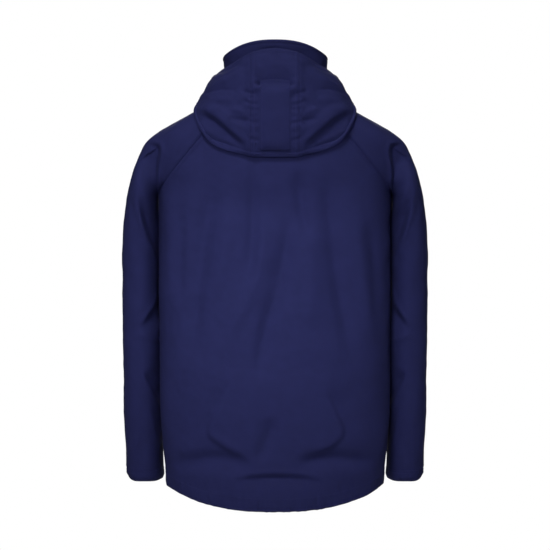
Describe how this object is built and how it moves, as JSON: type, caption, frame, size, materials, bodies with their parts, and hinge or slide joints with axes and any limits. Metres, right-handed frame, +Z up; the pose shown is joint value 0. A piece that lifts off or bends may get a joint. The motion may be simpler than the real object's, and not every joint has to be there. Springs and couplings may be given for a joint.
{
  "type": "foul weather jacket",
  "caption": "Hooded waterproof sailing jacket with a stand collar, raglan sleeves, storm flap over the front zip, flapped patch pockets and cuff tabs.",
  "frame": {"origin": "inside the back of the neck, in the middle of the underside of the hanger loop's top bar", "axes": "+Z up, the front of the jacket towards -Y, the wearer's left towards +X"},
  "size_m": [0.57, 0.3095, 0.8461],
  "materials": {
    "shell_fabric": "matte woven nylon, waterproof, faint ripstop texture",
    "lining": "smooth satin lining",
    "fleece": "short pile fleece",
    "hook_and_loop": "matte hook-and-loop tape",
    "zip_tape": "woven polyester tape",
    "moulded": "satin moulded plastic",
    "elastic": "knitted elastic",
    "label": "blank woven label",
    "metal": "satin dark plated metal"
  },
  "bodies": {
    "shell": {"back_panel": "shell_fabric", "front_panel_left": "shell_fabric", "front_panel_right": "shell_fabric", "shoulder_left": "shell_fabric", "shoulder_right": "shell_fabric", "back_lining": "lining", "front_lining_left": "lining", "front_lining_right": "lining", "collar_shell": "shell_fabric", "collar_lining": "fleece", "hood_neck_panel": "shell_fabric", "zip_chain_left": "moulded", "zip_chain_right": "moulded", "zip_tape_left": "zip_tape", "zip_tape_right": "zip_tape", "zip_box": "moulded", "inner_storm_guard": "lining", "storm_flap_hook_strip": "hook_and_loop", "stud_post_top": "metal", "stud_post_bottom": "metal", "pocket_left": "shell_fabric", "pocket_right": "shell_fabric", "hem_facing": "lining", "hem_cord": "elastic", "cord_lock_left": "moulded", "cord_lock_right": "moulded", "hanger_loop": "zip_tape", "neck_label": "label"},
    "hood": {"hood_centre_panel": "shell_fabric", "hood_side_left": "shell_fabric", "hood_side_right": "shell_fabric", "hood_tab_patch": "hook_and_loop", "hood_eyelet_left": "metal", "hood_eyelet_right": "metal"},
    "hood_tab": {"hood_tab": "shell_fabric"},
    "storm_flap": {"storm_flap": "shell_fabric", "storm_flap_loop_strip": "hook_and_loop", "stud_cap_top": "metal", "stud_cap_bottom": "metal"},
    "zip_slider": {"zip_slider": "metal"},
    "zip_pull": {"zip_pull": "moulded"},
    "sleeve_left": {"sleeve_left": "shell_fabric", "sleeve_lining_left": "lining", "inner_cuff_left": "elastic", "cuff_loop_patch_left": "hook_and_loop"},
    "cuff_tab_left": {"cuff_tab_left": "shell_fabric"},
    "pocket_flap_left": {"pocket_flap_left": "shell_fabric"},
    "cord_lock_button_left": {"cord_lock_button_left": "moulded"},
    "sleeve_right": {"sleeve_right": "shell_fabric", "sleeve_lining_right": "lining", "inner_cuff_right": "elastic", "cuff_loop_patch_right": "hook_and_loop"},
    "cuff_tab_right": {"cuff_tab_right": "shell_fabric"},
    "pocket_flap_right": {"pocket_flap_right": "shell_fabric"},
    "cord_lock_button_right": {"cord_lock_button_right": "moulded"}
  },
  "joints": [
    {"name": "sleeve_left_swing", "type": "hinge", "parent": "shell", "child": "sleeve_left", "pos_m": [0.222, -0.061, -0.15], "axis": [0, -1, 0], "range_deg": [0, 70]},
    {"name": "sleeve_right_swing", "type": "hinge", "parent": "shell", "child": "sleeve_right", "pos_m": [-0.222, -0.061, -0.15], "axis": [0, 1, 0], "range_deg": [0, 70]},
    {"name": "hood_lift", "type": "hinge", "parent": "shell", "child": "hood", "pos_m": [0, -0.144, -0.04], "axis": [1, 0, 0], "range_deg": [0, 48]},
    {"name": "hood_tab_flip", "type": "hinge", "parent": "hood", "child": "hood_tab", "pos_m": [0, 0.09, -0.0035], "axis": [1, 0, 0], "range_deg": [0, 110]},
    {"name": "storm_flap_open", "type": "hinge", "parent": "shell", "child": "storm_flap", "pos_m": [0.034, -0.18577, -0.37746], "axis": [0, 0.0472, 0.9989], "range_deg": [0, 100]},
    {"name": "zip_slider_run", "type": "slide", "parent": "shell", "child": "zip_slider", "axis": [0, -0.0472, -0.9989], "range_m": [0, 0.725]},
    {"name": "zip_pull_swing", "type": "hinge", "parent": "zip_slider", "child": "zip_pull", "pos_m": [0, -0.16921, 0.00918], "axis": [-1, 0, 0], "range_deg": [0, 110]},
    {"name": "cuff_tab_left_open", "type": "hinge", "parent": "sleeve_left", "child": "cuff_tab_left", "pos_m": [0.27737, -0.14414, -0.706], "axis": [0, 0, 1], "range_deg": [0, 120]},
    {"name": "cuff_tab_right_open", "type": "hinge", "parent": "sleeve_right", "child": "cuff_tab_right", "pos_m": [-0.27737, -0.14414, -0.706], "axis": [0, 0, -1], "range_deg": [0, 120]},
    {"name": "pocket_flap_left_lift", "type": "hinge", "parent": "shell", "child": "pocket_flap_left", "pos_m": [0.127, -0.17556, -0.4965], "axis": [-0.9427, -0.3335, 0], "range_deg": [0, 100]},
    {"name": "pocket_flap_right_lift", "type": "hinge", "parent": "shell", "child": "pocket_flap_right", "pos_m": [-0.127, -0.17556, -0.4965], "axis": [-0.9427, 0.3335, 0], "range_deg": [0, 100]},
    {"name": "cord_lock_left_press", "type": "slide", "parent": "shell", "child": "cord_lock_button_left", "axis": [0, 0, -1], "range_m": [0, 0.004], "stiffness_N_per_m": 400, "springref_m": -0.002},
    {"name": "cord_lock_right_press", "type": "slide", "parent": "shell", "child": "cord_lock_button_right", "axis": [0, 0, -1], "range_m": [0, 0.004], "stiffness_N_per_m": 400, "springref_m": -0.002}
  ]
}
